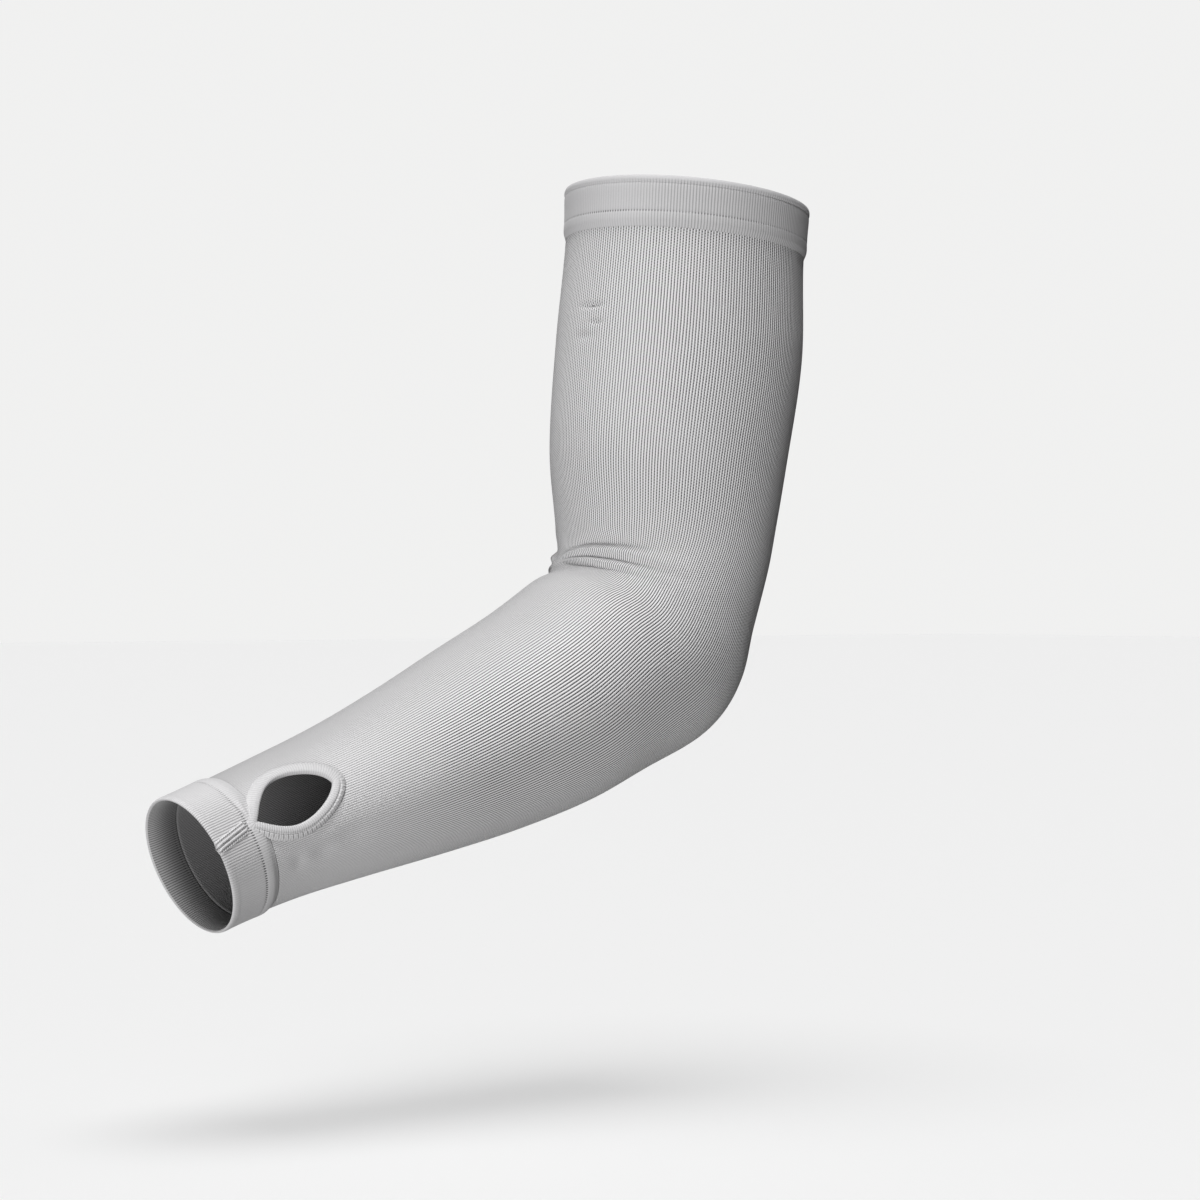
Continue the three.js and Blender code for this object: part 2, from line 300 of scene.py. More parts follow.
def thumb_bulge(share, turn):
    """The opening's height, as a share of its full one, at a share of its length from the wrist."""
    return np.sin(math.pi * share) * (1 - share) + np.abs(np.sin(turn)) ** THUMB_POINT * share


def thumb_edge(turn, margin):
    """The opening's edge pushed outwards by a margin: reach from the wrist rim, and side round it."""

    def edge_at(angle):
        share = (1 - np.cos(angle)) / 2
        height = np.where(angle % (2 * math.pi) < math.pi, THUMB_OVER, -THUMB_UNDER)
        side = height * thumb_bulge(share, angle) + THUMB_SKEW * share**3
        return THUMB_FROM_RIM + THUMB_LENGTH * share, side

    step = 2 * math.pi / EDGE_STEPS
    reach, side = edge_at(turn)
    reach_before, side_before = edge_at(turn - step)
    reach_after, side_after = edge_at(turn + step)
    x = side_before - side_after
    y = reach_after - reach_before
    length = np.hypot(x, y)
    return reach + margin * x / length, side + margin * y / length


def wrist_place(reach, side):
    """Along and angle of a point beside the thumb opening's long axis."""
    along = TOTAL_LENGTH - reach
    wide, deep, shift = section_at(along)
    return along, THUMB_ANGLE + np.degrees(side / ((wide + deep) / 2))


def side_of(along, angle):
    """Reach from the wrist rim and side round the sleeve of a place, the other way about."""
    wide, deep, shift = section_at(along)
    return TOTAL_LENGTH - along, np.radians(angle - THUMB_ANGLE) * (wide + deep) / 2


# Meshes
def flat_grid(columns, rows):
    """A grid over the unit square."""
    bm = bmesh.new()
    bmesh.ops.create_grid(bm, x_segments=columns, y_segments=rows, size=0.5)
    bmesh.ops.translate(bm, verts=bm.verts, vec=(0.5, 0.5, 0))
    return bm


def set_places(bm, place):
    """Writes the UV map from place, a function of a corner's flat coordinates."""
    layer = bm.loops.layers.uv.new("place")
    for face in bm.faces:
        for loop in face.loops:
            loop[layer].uv = place(loop.vert.co.x, loop.vert.co.y)


def wrap(bm, points):
    """Moves every vertex to where points, a function of arrays of flat coordinates, puts it."""
    flat = np.array([vert.co[:] for vert in bm.verts])
    wrapped = points(flat[:, 0], flat[:, 1])
    for vert, point in zip(bm.verts, wrapped):
        vert.co = point


def mark_lining(bm, inner):
    """Gives the faces of the inner side the second material, a darker copy of the cloth with painted
    shade.
    """
    for face, hidden in zip(bm.faces, inner):
        face.material_index = int(hidden)


def finish_piece(bm, name, materials, replaced):
    bmesh.ops.remove_doubles(bm, verts=bm.verts, dist=1e-7)
    bmesh.ops.recalc_face_normals(bm, faces=bm.faces)
    if bm.calc_volume(signed=True) < 0:
        bmesh.ops.reverse_faces(bm, faces=bm.faces)
    mesh = bpy.data.meshes.new(name)
    for face in bm.faces:
        face.smooth = True
    bm.to_mesh(mesh)
    bm.free()
    piece = bpy.data.objects.new(name, mesh)
    bpy.context.collection.objects.link(piece)
    for material in materials:
        mesh.materials.append(material)
    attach(piece, "root")
    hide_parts(replaced)
    return piece


def through(rows, count):
    """Evenly many places on a smooth curve through rows of numbers, with rounded corners."""
    rows = np.array(rows, dtype=float)
    steps = np.linspace(0, len(rows) - 1, count)
    i = np.minimum(steps.astype(int), len(rows) - 2)
    t = (steps - i)[:, None]
    before = rows[np.maximum(i - 1, 0)]
    after = rows[np.minimum(i + 2, len(rows) - 1)]
    near, far = rows[i], rows[i + 1]
    return 0.5 * (
        2 * near
        + (far - before) * t
        + (2 * before - 5 * near + 4 * far - after) * t**2
        + (3 * near - before - 3 * far + after) * t**3
    )


# Materials: ribs, whose sway has a scale, a width and a lowest value. Edges and beats are from and to.
RIB_SWAY = (60.0, 0.3, -0.15)
RIB_ROUNDNESS = 0.5
GROOVE_EDGE = (0.6, 0.1)
HOLE_BEAT = (-0.4, 0.5)
HOLE_EDGE = (0.5, 0.1)
BEAT_DEPTH = 0.08
HOLE_DEPTH = 0.25

# Materials: uneven yarn, fuzz and gloss. A range of tones is its width and its lowest value.
CLOUD_SCALE = 26.0
CLOUD_DETAIL = 3.0
CLOUD_STRENGTH = (0.3, 0.7, 0.88, 1.0)
CLOUD_TONE = (0.08, 0.96)
GRAIN_SCALE = 1400.0
GRAIN_TONE = (0.1, 0.95)
GRAIN_HEIGHT = 0.15
DARK_SHARE = 1.1
RELIEF = 0.0006
FABRIC_SPECULAR = 0.25
SHEEN = 0.15
SHEEN_ROUGHNESS = 0.5


class Nodes:
    """A short hand for a material's or group's node tree."""

    def __init__(self, tree):
        self.tree = tree

    def add(self, kind, **values):
        node = self.tree.nodes.new(kind)
        for name, value in values.items():
            if name.startswith("in_"):
                self.feed(node.inputs[self.key(name[3:])], value)
            else:
                setattr(node, name, value)
        return node

    @staticmethod
    def key(text):
        return int(text) if text.isdigit() else text.replace("_", " ")

    def feed(self, socket, value):
        if isinstance(value, bpy.types.NodeSocket):
            self.tree.links.new(value, socket)
        else:
            socket.default_value = value

    def math(self, operation, first, second=0.0, third=0.0, clamp=False):
        node = self.add("ShaderNodeMath", operation=operation, use_clamp=clamp)
        for socket, value in zip(node.inputs, (first, second, third)):
            self.feed(socket, value)
        return node.outputs[0]

    def ramp(self, value, low, high, to_low=0.0, to_high=1.0):
        """Smooth step from low to high."""
        node = self.add("ShaderNodeMapRange", interpolation_type="SMOOTHSTEP")
        names = ("Value", "From Min", "From Max", "To Min", "To Max")
        for name, number in zip(names, (value, low, high, to_low, to_high)):
            self.feed(node.inputs[name], number)
        return node.outputs["Result"]

    def product(self, *values):
        """All the values multiplied, from the first on."""
        found = values[0]
        for value in values[1:]:
            found = self.math("MULTIPLY", found, value)
        return found

    def away(self, value, middle):
        """How far a value is from the middle, whichever way."""
        return self.math("ABSOLUTE", self.math("SUBTRACT", value, middle))

    def split(self, place):
        """The share round the sleeve and the metres along it of a place in the UV map."""
        parts = self.add("ShaderNodeSeparateXYZ", in_0=place)
        return parts.outputs["X"], parts.outputs["Y"]

    def noise(self, vector, scale, detail=2.0, dimensions="3D"):
        node = self.add("ShaderNodeTexNoise", noise_dimensions=dimensions)
        self.feed(node.inputs["Vector"], vector)
        self.feed(node.inputs["Scale"], scale)
        self.feed(node.inputs["Detail"], detail)
        return node.outputs["Fac"]

    def mix(self, share, first, second):
        node = self.add("ShaderNodeMix", data_type="RGBA")
        self.feed(node.inputs["Factor"], share)
        self.feed(node.inputs["A"], first)
        self.feed(node.inputs["B"], second)
        return node.outputs["Result"]


def new_group(name, inputs, outputs):
    group = bpy.data.node_groups.new(name, "ShaderNodeTree")
    for text, kind in inputs:
        group.interface.new_socket(text, in_out="INPUT", socket_type=kind)
    for text, kind in outputs:
        group.interface.new_socket(text, in_out="OUTPUT", socket_type=kind)
    nodes = Nodes(group)
    return group, nodes, nodes.add("NodeGroupInput"), nodes.add("NodeGroupOutput")


def rib_group():
    """Ribs and courses of knit from the piece's own place: height, and the masks of the grooves and
    pinholes that get painted shade.
    """
    inputs = (
        ("Place", "NodeSocketVector"),
        ("Wales", "NodeSocketFloat"),
        ("Courses", "NodeSocketFloat"),
    )
    outputs = (("Height", "NodeSocketFloat"), ("Groove", "NodeSocketFloat"), ("Hole", "NodeSocketFloat"))
    group, n, start, end = new_group("knit ribs", inputs, outputs)
    place = n.add("ShaderNodeSeparateXYZ", in_0=start.outputs["Place"])
    wale = n.math("MULTIPLY", place.outputs["X"], start.outputs["Wales"])
    course = n.math("MULTIPLY", place.outputs["Y"], start.outputs["Courses"])
    scale, width, lowest = RIB_SWAY
    sway = n.math("MULTIPLY_ADD", n.noise(start.outputs["Place"], scale), width, lowest)
    wale = n.math("ADD", wale, sway)
    turn = n.math("MULTIPLY", wale, 2 * math.pi)
    wave = n.math("MULTIPLY_ADD", n.math("COSINE", turn), 0.5, 0.5)
    rib = n.math("POWER", wave, RIB_ROUNDNESS)
    groove = n.ramp(wave, *GROOVE_EDGE)
    row = n.math("FLOOR", wale)
    stagger = n.math("MULTIPLY", n.math("MODULO", row, 2.0), 0.5)
    beat = n.math("COSINE", n.math("MULTIPLY", n.math("ADD", course, stagger), 2 * math.pi))
    hole = n.product(n.ramp(beat, *HOLE_BEAT), n.ramp(wave, *HOLE_EDGE))
    stitch = n.product(n.math("MULTIPLY_ADD", beat, BEAT_DEPTH, 1 - BEAT_DEPTH), rib)
    height = n.math("SUBTRACT", stitch, n.product(hole, HOLE_DEPTH))
    n.feed(end.inputs["Height"], height)
    n.feed(end.inputs["Groove"], groove)
    n.feed(end.inputs["Hole"], hole)
    return group


RIBS = rib_group()


def fabric(
    name, light, groove_and_hole_shade, wales, courses, bump, roughness, thinning=None, stitch=None, holes=None, dim=None
):
    """Knit cloth: light ribs, grooves and pinholes with painted shade, uneven yarn, fuzz and a row of
    stitch holes with painted shade.
    """
    material = bpy.data.materials.new(name)
    material.use_nodes = True
    material.node_tree.nodes.clear()
    n = Nodes(material.node_tree)
    place = n.add("ShaderNodeUVMap", uv_map="place").outputs["UV"]
    spot = n.add("ShaderNodeTexCoord").outputs["Object"]
    ribs = n.add("ShaderNodeGroup", node_tree=RIBS)
    n.feed(ribs.inputs["Place"], place)
    n.feed(ribs.inputs["Wales"], float(wales))
    n.feed(ribs.inputs["Courses"], courses)
    cloud = n.noise(spot, CLOUD_SCALE, CLOUD_DETAIL)
    grain = n.noise(spot, GRAIN_SCALE)
    strength = n.ramp(cloud, *CLOUD_STRENGTH)
    if thinning is not None:
        strength = n.product(strength, thinning(n, place))
    groove = n.product(ribs.outputs["Groove"], strength)
    hole = n.product(ribs.outputs["Hole"], strength)
    share = FINE_HOLES if holes is None else holes(n, place)
    rest = n.math("SUBTRACT", DARK_SHARE, share)
    # Painted shade: the grooves and pinholes are mixed towards the dark shade colour
    depth = n.math("MULTIPLY_ADD", hole, share, n.product(groove, rest), clamp=True)
    tone = n.mix(depth, (*light, 1), (*groove_and_hole_shade, 1))
    if stitch is not None:
        # Painted shade in the row of stitch holes
        tone = n.mix(stitch_hole_shade(n, place, wales, *stitch), tone, (*STITCH_HOLE_SHADE, 1))
    shade = n.math("MULTIPLY_ADD", grain, *GRAIN_TONE)
    patch = n.math("MULTIPLY_ADD", cloud, *CLOUD_TONE)
    if dim is not None:
        patch = n.product(patch, dim(n, place))
    tinted = n.add("ShaderNodeVectorMath", operation="SCALE")
    n.feed(tinted.inputs[0], tone)
    n.feed(tinted.inputs["Scale"], n.product(shade, patch))
    fuzz = n.product(grain, GRAIN_HEIGHT)
    height = n.math("MULTIPLY_ADD", ribs.outputs["Height"], strength, fuzz)
    relief = n.add("ShaderNodeBump", in_Strength=bump, in_Distance=RELIEF)
    n.feed(relief.inputs["Height"], height)
    shader = n.add("ShaderNodeBsdfPrincipled")
    n.feed(shader.inputs["Base Color"], tinted.outputs[0])
    n.feed(shader.inputs["Normal"], relief.outputs["Normal"])
    shader.inputs["Roughness"].default_value = roughness
    shader.inputs["Specular IOR Level"].default_value = FABRIC_SPECULAR
    shader.inputs["Sheen Weight"].default_value = SHEEN
    shader.inputs["Sheen Roughness"].default_value = SHEEN_ROUGHNESS
    output = n.add("ShaderNodeOutputMaterial")
    n.feed(output.inputs["Surface"], shader.outputs["BSDF"])
    return material


def stitch_hole_shade(n, place, count, stitch_at, width, near, near_share, far, far_share):
    """A row of small holes round the sleeve with painted shade in them, which show most on one side of
    it.
    """
    around, along = n.split(place)
    off_row = n.away(along, stitch_at * MM)
    turn = n.product(around, 2 * math.pi * count)
    between = n.ramp(n.math("COSINE", turn), *STITCH_BETWEEN)
    uneven = n.ramp(n.noise(place, STITCH_SCALE), *STITCH_UNEVEN)
    side = n.ramp(around, near, far, near_share, far_share)
    return n.product(n.ramp(off_row, width * MM, width * MM / 3), between, uneven, side)


def forearm_top(n, around, along, share):
    """One, less a share that grows on top of the forearm, where the knit is stretched flat."""
    beside = n.ramp(n.away(around, INNER_SIDE), *TOP_SIDES)
    return n.math("SUBTRACT", 1.0, n.product(beside, n.ramp(along, *TOP_BEGINS, 0.0, share)))


def knit_thinning(n, place):
    """Near the wrist, and on top of the forearm, the knit is stretched flat and its grooves close up."""
    around, along = n.split(place)
    near_wrist = n.ramp(along, *WRIST_STRETCH, 1.0, WRIST_GROOVES)
    return n.product(near_wrist, forearm_top(n, around, along, TOP_THIN))


def cuff_thinning(n, place):
    """The wrist band's ribs show most beside its seam, and less where it laps over the tube."""
    around, along = n.split(place)
    beside = n.ramp(n.away(around, THUMB_ANGLE / 360), *BESIDE_SEAM)
    lap = n.ramp(along, (CUFF_ALONG - 1) * MM, CUFF_ALONG * MM, LAP_RIBS, 1.0)
    return n.product(beside, lap)


def knit_holes(n, place):
    """Pinholes show on the upper arm, and plain grooves on the forearm, where the knit is pulled."""
    return n.ramp(n.split(place)[1], *HOLES_FADE)


def knit_paleness(n, place):
    """The knit is paler along the forearm, and darker again where it has few grooves."""
    around, along = n.split(place)
    pale = n.product(n.ramp(along, *FOREARM_PALE), n.ramp(along, *WRIST_STRETCH, 1.0, WRIST_DIM))
    return n.product(pale, forearm_top(n, around, along, TOP_DIM))


def rim_thinning(n, place):
    """The upper band's ribs fade out on its rim and on the inner side of the arm."""
    around, along = n.split(place)
    return n.product(n.ramp(along, *RIM_FADE), n.ramp(around, *INNER_FADE))


def cuff_inside_shade(n, place):
    """Painted shade: the wrist band's inside gets darker a little way in from the rim."""
    shallow, deep = (TOTAL_LENGTH - reach for reach in INSIDE_SHADE_REACH)
    return n.ramp(n.split(place)[1], shallow * MM, deep * MM, 1.0, INSIDE_SHADE)


# Where the knit changes: shares of a turn or metres along, from and to, with the values at both
# where a row has four
INNER_SIDE = 0.5
TOP_SIDES = (0.17, 0.05)
TOP_BEGINS = (0.18, 0.21)
TOP_THIN = 0.6
TOP_DIM = 0.32
WRIST_STRETCH = (0.3, 0.385)
WRIST_GROOVES = 0.4
WRIST_DIM = 0.86
FOREARM_PALE = (0.17, 0.28, 0.88, 0.97)
HOLES_FADE = (0.15, 0.22, 0.65, 0.2)
BESIDE_SEAM = (0.03, 0.13, 1.0, 0.25)
LAP_RIBS = 0.5
RIM_FADE = (0.0008, 0.003)
INNER_FADE = (0.36, 0.46, 1.0, 0.3)
# Painted shade inside the wrist band: reaches from the rim, and the share of its colour that is left
# deep in
INSIDE_SHADE_REACH = (1.0, 12.0)
INSIDE_SHADE = 0.3
STITCH_BETWEEN = (0.2, -0.6)
STITCH_SCALE = 18.0
STITCH_UNEVEN = (0.35, 0.6, 0.5, 1.0)
# Share of the painted shade that the pinholes have, where a cloth has no function for it
FINE_HOLES = 0.2

# Colours of the yarn, of the painted shade in the grooves between its ribs and in the stitch holes, and
# of the inside, which is painted shade too
YARN = (0.84, 0.833, 0.842)
PLAIN_YARN = (0.6, 0.595, 0.602)
STITCH_HOLE_SHADE = (0.05, 0.05, 0.05)
GROOVE_SHADE = (0.03, 0.03, 0.032)
BAND_YARN = (0.56, 0.555, 0.563)
BAND_GROOVE_SHADE = (0.34, 0.335, 0.34)
THREAD_GROOVE_SHADE = (0.52, 0.515, 0.52)
SHALLOW_GROOVE_SHADE = (0.3, 0.295, 0.3)
# The inside: the same yarn, darker as painted shade for the shade inside the sleeve and its bands
SHADED_LINING_YARN = (0.2, 0.197, 0.2)
SHADED_LINING_GROOVE = (0.05, 0.05, 0.05)
SHADED_INNER_BAND_YARN = (0.42, 0.415, 0.42)
SHADED_INNER_BAND_GROOVE = (0.15, 0.15, 0.15)

# Rows of stitching: reach from the rim
CUFF_STITCH = 15.4
UPPER_STITCH = 14.6
LINING_STITCH = 11.5
CUFF_ALONG = TOTAL_LENGTH - CUFF_STITCH
LINING_ALONG = TOTAL_LENGTH - LINING_STITCH
# Stitch holes with painted shade: place, width, and the share that shows from one side of the sleeve to
# the other
UPPER_HOLES = (UPPER_STITCH, 0.55, 0.36, 0.6, 0.48, 0.8)
CUFF_HOLES = (CUFF_ALONG, 0.68, 0.27, 1.0, 0.37, 0.45)
LINING_HOLES = (LINING_ALONG, 0.6, 0.0, 0.8, 1.0, 0.8)

# Courses to a metre, the threads of the binding, and the cloths themselves
KNIT_COURSES = 1000 / COURSE
FINE = 1000 / 0.7
THREAD_COURSES = 1000 / 0.5
LIP_COURSES = 1000 / 0.9
THREADS = 104
# Each cloth's second colour is the painted shade of its grooves and pinholes
KNIT = fabric(
    "knit",
    YARN,
    GROOVE_SHADE,
    WALES,
    KNIT_COURSES,
    bump=0.6,
    roughness=0.86,
    thinning=knit_thinning,
    holes=knit_holes,
    dim=knit_paleness,
)
BAND = fabric(
    "band knit",
    BAND_YARN,
    BAND_GROOVE_SHADE,
    UPPER_RIBS,
    FINE,
    bump=0.15,
    roughness=0.85,
    thinning=rim_thinning,
    stitch=UPPER_HOLES,
)
CUFF = fabric(
    "cuff knit",
    PLAIN_YARN,
    SHALLOW_GROOVE_SHADE,
    CUFF_RIBS,
    FINE,
    bump=0.2,
    roughness=0.85,
    thinning=cuff_thinning,
    stitch=CUFF_HOLES,
)
THREAD = fabric("overlock thread", PLAIN_YARN, THREAD_GROOVE_SHADE, THREADS, THREAD_COURSES, 0.15, 0.82)
LIPS = fabric("seam lips", PLAIN_YARN, SHALLOW_GROOVE_SHADE, 1, LIP_COURSES, 0.3, 0.85)
# Darker copies of the cloths for the inside, painted shade
LINING = fabric("shaded knit lining", SHADED_LINING_YARN, SHADED_LINING_GROOVE, WALES, KNIT_COURSES, 0.5, 0.9)
BAND_LINING = fabric("shaded band lining", SHADED_INNER_BAND_YARN, SHADED_INNER_BAND_GROOVE, UPPER_RIBS, FINE, 0.4, 0.9)
CUFF_LINING = fabric(
    "shaded cuff lining",
    SHADED_INNER_BAND_YARN,
    SHADED_INNER_BAND_GROOVE,
    CUFF_RIBS,
    FINE,
    bump=0.3,
    roughness=0.9,
    stitch=LINING_HOLES,
    dim=cuff_inside_shade,
)

# Knitted tube
TUBE_START = UPPER_BAND - UPPER_LAP
TUBE_END = TOTAL_LENGTH - WRIST_BAND + WRIST_LAP
TUBE_COLUMNS = 252
CUT_MARGIN = 1.5
CUT_PAST_ENDS = 0.03
# Places along the tube where its rows get denser or wider, with the rows from each to the next
OUTER_ROWS = ((TUBE_START, 14), (49.0, 32), (70.0, 24), (138.0, 88), (207.0, 50), (362.0, 62))
INNER_ROWS = ((TUBE_END, 40), (372.0, 12), (207.0, 40), (138.0, 12))


def spaced(steps, end):
    """Places in steps of the given numbers of rows, with the end as the last place."""
    starts = [place for place, rows in steps]
    ends = starts[1:] + [end]
    runs = [np.linspace(a, b, rows, endpoint=False) for a, b, (place, rows) in zip(starts, ends, steps)]
    return np.concatenate(runs + [[end]])


def knit_tube():
    outside = spaced(OUTER_ROWS, TUBE_END)
    inside = spaced(INNER_ROWS, TUBE_START)
    along = np.concatenate((outside, inside, outside[:1]))
    off = np.concatenate((np.zeros(len(outside)), np.full(len(inside), -KNIT_WALL), (0.0,)))
    last = len(along) - 1
    bm = flat_grid(TUBE_COLUMNS, last)

    def row_of(v):
        return np.rint(v * last).astype(int)

    def place(u, v):
        reach = along[int(round(v * last))]
        turned = smoothstep(reach, SWING_FROM, SWING_TO)
        swing = UPPER_SWING + (FORE_SWING - UPPER_SWING) * turned
        beside = (reach - UPPER_LENGTH) / (CORNER_ABOVE if reach < UPPER_LENGTH else CORNER_BELOW)
        cut = CORNER_CUT * math.sin(u * 2 * math.pi) * math.exp(-(beside**2))
        return (u + swing * math.sin((u - WIDE_SIDE) * 2 * math.pi) / (2 * math.pi) - cut, reach * MM)

    def in_opening(u, v):
        reach, side = side_of(along[row_of(v)], u * 360)
        share = (reach - THUMB_FROM_RIM) / THUMB_LENGTH
        turn = np.arccos(np.clip(1 - 2 * share, -1, 1))
        side = side - THUMB_SKEW * np.clip(share, 0, 1) ** 3
        limit = np.where(side > 0, THUMB_OVER, THUMB_UNDER) * thumb_bulge(share, turn) + CUT_MARGIN
        within = (share > -CUT_PAST_ENDS) & (share < 1 + CUT_PAST_ENDS)
        return within & (np.abs(side) < limit)

    set_places(bm, place)
    flat = np.array([face.calc_center_median()[:] for face in bm.faces])
    corner = np.floor(flat[:, 1] * last)
    mark_lining(bm, corner >= len(outside) - 1)
    doomed = in_opening(flat[:, 0], corner / last) & in_opening(flat[:, 0], (corner + 1) / last)
    gone = [face for face, cut in zip(bm.faces, doomed) if cut]
    bmesh.ops.delete(bm, geom=gone, context="FACES")
    wrap(bm, lambda u, v: sleeve_points(along[row_of(v)], u * 360, off[row_of(v)]))
    bmesh.ops.remove_doubles(bm, verts=bm.verts, dist=1e-7)
    edges = [edge for edge in bm.edges if edge.is_boundary]
    bmesh.ops.bridge_loops(bm, edges=edges)
    return finish_piece(bm, "knitted_tube", (KNIT, LINING), "knit_tube")


# Hem bands: reach from the rim and height off the knit of a band's section, from the rim's inner edge
# over the outside and back along the inside. roll is how far the lap's soft edge stands off the knit.
def band_rows(height, lap, stitch_at, roll, crease):
    return (
        (0.6, -0.4),
        (0.15, -0.15),
        (0.0, 0.1),
        (0.2, 0.5),
        (0.8, 0.8),
        (2.0, 0.92),
        (3.0, 0.88 - crease),
        (4.0, 0.86),
        (10.0, 0.87),
        (stitch_at - 1.2, 0.93),
        (stitch_at, 0.93),
        (stitch_at + 1.0, 0.5 + 0.5 * roll),
        (height - 2.8, roll),
        (height - 1.7, 0.92 * roll),
        (height - 0.8, 0.7 * roll),
        (height, 0.42 * roll),
        (height + 0.7, 0.2),
        (height + 0.7, 0.1),
        (height - lap / 2, 0.15),
        (height - lap, 0.15),
        (height - lap, -0.5),
        (height - lap - 0.4, -1.1),
        (height / 2, -1.1),
        (4.0, -1.1),
        (0.6, -0.4),
    )


UPPER_ROLL = 1.1
CUFF_ROLL = 1.05
RIM_CREASE = 0.35
UPPER_SIZES = (UPPER_BAND, UPPER_LAP, UPPER_STITCH, UPPER_ROLL, RIM_CREASE)
CUFF_SIZES = (WRIST_BAND, WRIST_LAP, CUFF_STITCH, CUFF_ROLL, 0.0)
# The rows of a band's outside, from the rim to the lap's soft edge
OUTSIDE_ROWS = slice(2, 17)
BAND_POINTS = 72
COLUMNS_A_RIB = 4
# Share of a band's section, from the rim over the outside, after which it is hidden or on the inside
HIDDEN_SHARE = 17.5 / 25
# A row of the section lower than this is on the inside, where the ribs are this deep
INSIDE_BELOW = -0.6
INNER_RIDGE = 0.08
# Ribs: where they begin, how much of their depth shows, how much less past the stitching and how soon,
# what is left of them away from the seam and how many degrees they spread from it
RIBS_BEGIN = (0.3, 2.5)
RIBS_SHOWN = 0.7
RIBS_LOST = 0.45
RIBS_LOST_OVER = 1.5
RIBS_LEFT = 0.2
RIBS_SPREAD = 30
# The stitching's dent, which is deepest between the ribs
STITCH_DENT = 0.13
STITCH_SPREAD = 0.4
STITCH_RISE = 1.2
# The notch for the binding's tip: how far before the opening it starts, half its width, and its slope
NOTCH_BEFORE = 3.2
NOTCH_HALF = 0.5
NOTCH_SLOPE = 0.75


def hem_band(name, node, materials, sizes, ribs, ridge_depth, at_wrist):
    """A band from its height, lap, stitching, roll and crease. The one at the wrist has a notch."""
    section = through(band_rows(*sizes), BAND_POINTS)
    stitch_at = sizes[2]
    last = len(section) - 1
    columns = ribs * COLUMNS_A_RIB
    bm = flat_grid(columns, last)

    def reach_of(v):
        return section[np.rint(v * last).astype(int), 0]

    def place(u, v):
        reach = section[int(round(v * last)), 0]
        return (u, (TOTAL_LENGTH - reach if at_wrist else reach) * MM)

    def points(u, v):
        rows = section[np.rint(v * last).astype(int)]
        reach, off = rows[:, 0], rows[:, 1]
        outer = off > INSIDE_BELOW
        ridge = np.cos(u * ribs * 2 * math.pi) * 0.5 + 0.5
        lost = RIBS_LOST * smoothstep(reach, stitch_at, stitch_at + RIBS_LOST_OVER)
        shown = smoothstep(reach, *RIBS_BEGIN) * (RIBS_SHOWN - lost)
        if at_wrist:
            shown *= RIBS_LEFT + (1 - RIBS_LEFT) * hump(u * 360 - THUMB_ANGLE, RIBS_SPREAD)
        depth = np.where(outer, ridge_depth, INNER_RIDGE) * shown
        dent = STITCH_DENT * hump(reach - stitch_at, STITCH_SPREAD) * (STITCH_RISE - ridge)
        lifted = off + np.where(outer, depth * (ridge - 0.5) - dent, -depth * (ridge - 0.5))
        along = TOTAL_LENGTH - reach if at_wrist else reach
        return sleeve_points(along, u * 360, lifted)

    set_places(bm, place)
    flat = np.array([face.calc_center_median()[:] for face in bm.faces])
    mark_lining(bm, flat[:, 1] > HIDDEN_SHARE)
    if at_wrist:
        reach, side = side_of(TOTAL_LENGTH - reach_of(flat[:, 1]), flat[:, 0] * 360)
        tip = THUMB_FROM_RIM - NOTCH_BEFORE
        limit = NOTCH_HALF + NOTCH_SLOPE * np.maximum(reach - tip, 0)
        gone = [f for f, r, s, w in zip(bm.faces, reach, side, limit) if r > tip and abs(s) < w]
        bmesh.ops.delete(bm, geom=gone, context="FACES")
    wrap(bm, points)
    return finish_piece(bm, name, materials, node)


# Thumb binding, whose rows have the push away from the opening's edge, and the height off the knit.
# Its threads have a height above the opening and more below it, and show less near the knit.
BINDING_POINTS = 46
COLUMNS_A_THREAD = 4
THREAD_SLANT = 0.09
THREAD_RIDGES = (0.03, 0.05)
THREAD_BELOW = (-0.2, 0.5)
THREADS_SHOWN_ABOVE = 0.4
THREADS_LEFT = 0.2
LIFTED_ABOVE = 0.2
# The loops at the outer edge and the furrow beside them: place and half width
LOOPS = (3.3, 0.6)
FURROW = (2.4, 0.35)
LOOP_HEIGHT = 0.15
FURROW_DEPTH = 0.35
OUTER_EDGE = 3.6
EDGE_SAMPLES = 4001
EDGE_MARGIN = 2.0


